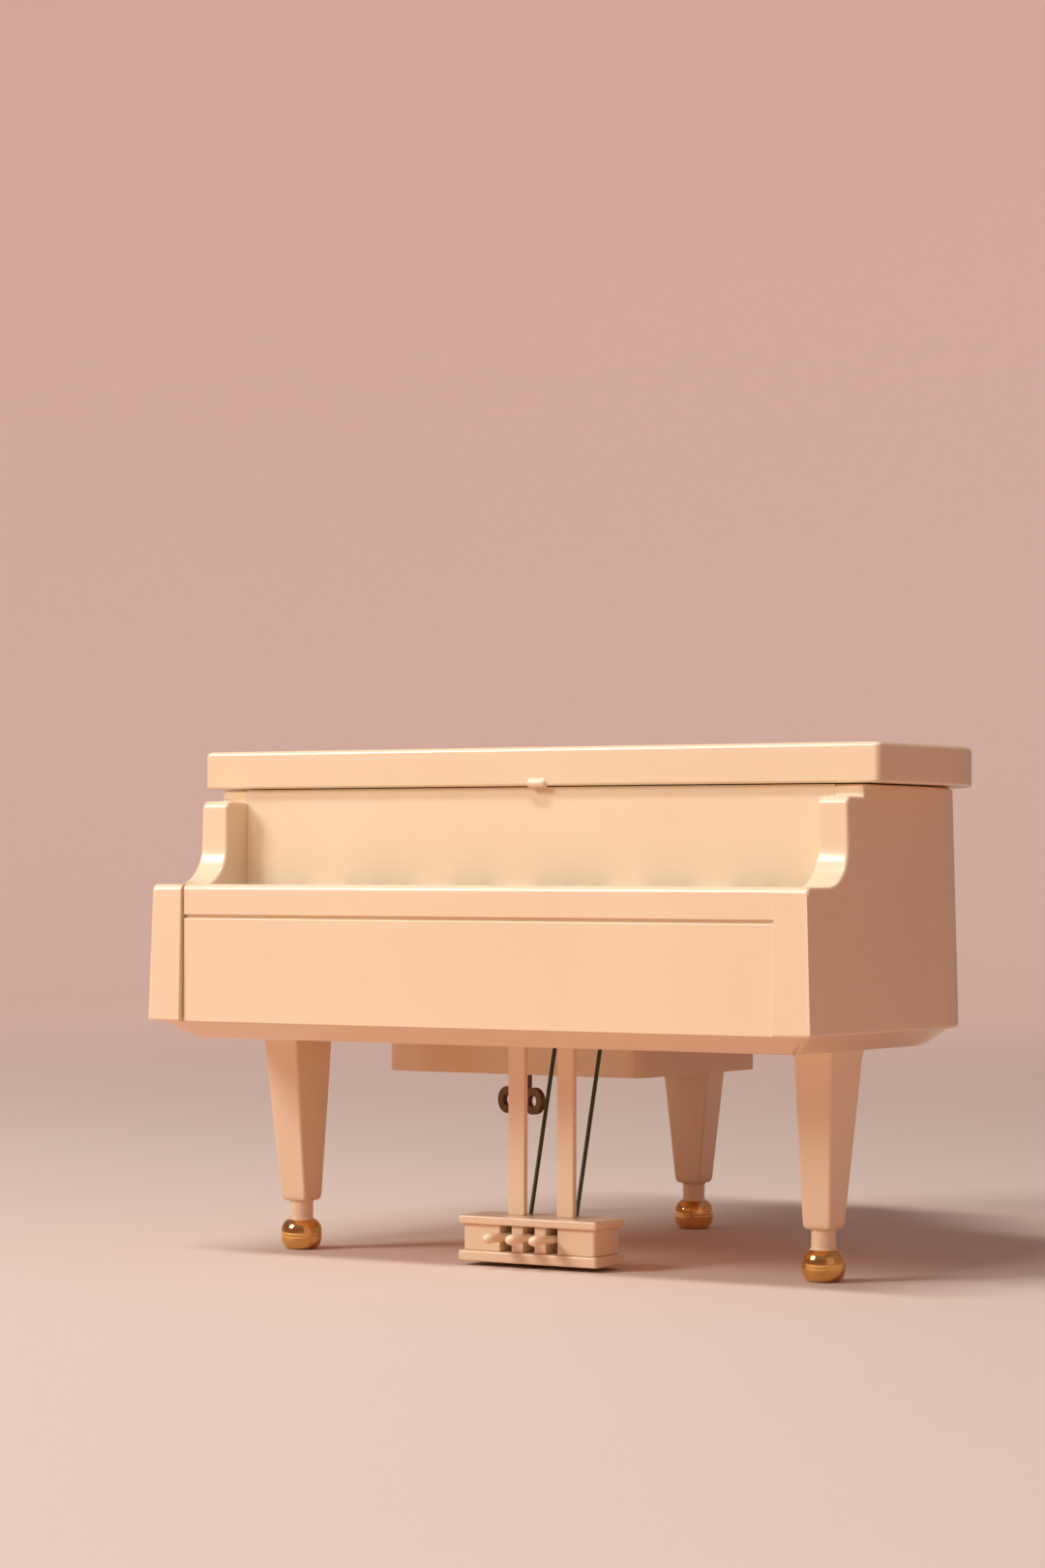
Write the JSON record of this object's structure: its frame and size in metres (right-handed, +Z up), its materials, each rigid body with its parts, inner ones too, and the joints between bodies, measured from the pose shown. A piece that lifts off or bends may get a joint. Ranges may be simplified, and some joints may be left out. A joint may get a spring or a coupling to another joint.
{
  "type": "ballerina jewellery box",
  "caption": "Jewellery box shaped as a small grand piano: hinged lid, ball feet, pedal lyre, lined trays, wind-up comb movement and a turning dancer.",
  "frame": {"origin": "middle of the box's footprint, on the plane that its three ball feet stand on", "axes": "+X towards the treble side, +Y from the keyboard to the tail, +Z up"},
  "size_m": [0.1474, 0.132, 0.0964],
  "materials": {
    "ivory": "moulded ivory plastic, soft gloss",
    "key_white": "moulded white plastic, glossy",
    "key_black": "painted black, glossy",
    "velvet": "short flocked velvet",
    "satin": "padded satin",
    "mirror": "silvered glass",
    "brass": "machined brass",
    "gilt": "bright gilt plating",
    "steel": "bright steel",
    "dark_steel": "blackened steel",
    "dark_rod": "dark green lacquer",
    "doll": "moulded doll plastic, satin",
    "tulle": "stiff net"
  },
  "bodies": {
    "case": {"case_rim": "ivory", "base_tray": "ivory", "front_panel": "ivory", "key_slip": "ivory", "key_bed": "ivory", "white_keys": "key_white", "black_keys": "key_black", "fascia": "ivory", "jewellery_tray": "velvet", "ring_cushion": "satin", "hinge_case_leaves": "brass", "hinge_pins": "steel", "leg_front_left": "ivory", "leg_front_right": "ivory", "leg_rear": "ivory", "foot_front_left": "gilt", "foot_front_right": "gilt", "foot_rear": "gilt", "lyre_foot": "ivory", "lyre_box": "ivory", "lyre_cap": "ivory", "lyre_posts": "ivory", "lyre_rods": "dark_rod", "pedals": "ivory", "movement_housing": "ivory", "housing_screws": "steel", "bedplate": "brass", "comb": "steel", "comb_block": "brass", "comb_screws": "steel", "bearing_brackets": "brass", "governor_cock": "brass"},
    "lid": {"lid": "ivory", "lid_mirror": "mirror", "hinge_lid_leaves": "brass"},
    "cylinder": {"pinned_drum": "brass", "cylinder_pins": "steel"},
    "barrel": {"spring_barrel": "brass"},
    "idler": {"idle_wheel": "brass"},
    "governor": {"governor": "dark_steel"},
    "dancer": {"turntable": "gilt", "dancer_spring": "steel", "dancer_figure": "doll", "dancer_skirt": "tulle"},
    "key": {"winding_arbor": "steel", "winding_key": "dark_steel"}
  },
  "joints": [
    {"name": "lid_hinge", "type": "hinge", "parent": "case", "child": "lid", "pos_m": [-0.07175, 0.005, 0.08915], "axis": [0, -1, 0], "range_deg": [0, 95]},
    {"name": "cylinder_spin", "type": "hinge", "parent": "case", "child": "cylinder", "pos_m": [-0.0333, 0.024, 0.047], "axis": [0, 1, 0], "continuous": true},
    {"name": "barrel_spin", "type": "hinge", "parent": "case", "child": "barrel", "pos_m": [-0.0333, 0.007, 0.041], "axis": [0, 0, 1], "continuous": true},
    {"name": "idler_spin", "type": "hinge", "parent": "case", "child": "idler", "pos_m": [-0.04205, 0.0325, 0.047], "axis": [0, 1, 0], "continuous": true},
    {"name": "governor_spin", "type": "hinge", "parent": "case", "child": "governor", "pos_m": [-0.0478, 0.0344, 0.047], "axis": [0, 0, 1], "continuous": true},
    {"name": "dancer_spin", "type": "hinge", "parent": "case", "child": "dancer", "pos_m": [-0.0189, 0.007, 0.058], "axis": [0, 0, 1], "continuous": true},
    {"name": "key_turn", "type": "hinge", "parent": "case", "child": "key", "pos_m": [-0.0333, 0.007, 0.03], "axis": [0, 0, 1], "continuous": true}
  ],
  "couplings": [
    {"joint": "barrel_spin", "follows": "cylinder_spin", "ratio": 0.25},
    {"joint": "idler_spin", "follows": "cylinder_spin", "ratio": -4},
    {"joint": "governor_spin", "follows": "cylinder_spin", "ratio": 32},
    {"joint": "dancer_spin", "follows": "cylinder_spin", "ratio": -0.75}
  ]
}
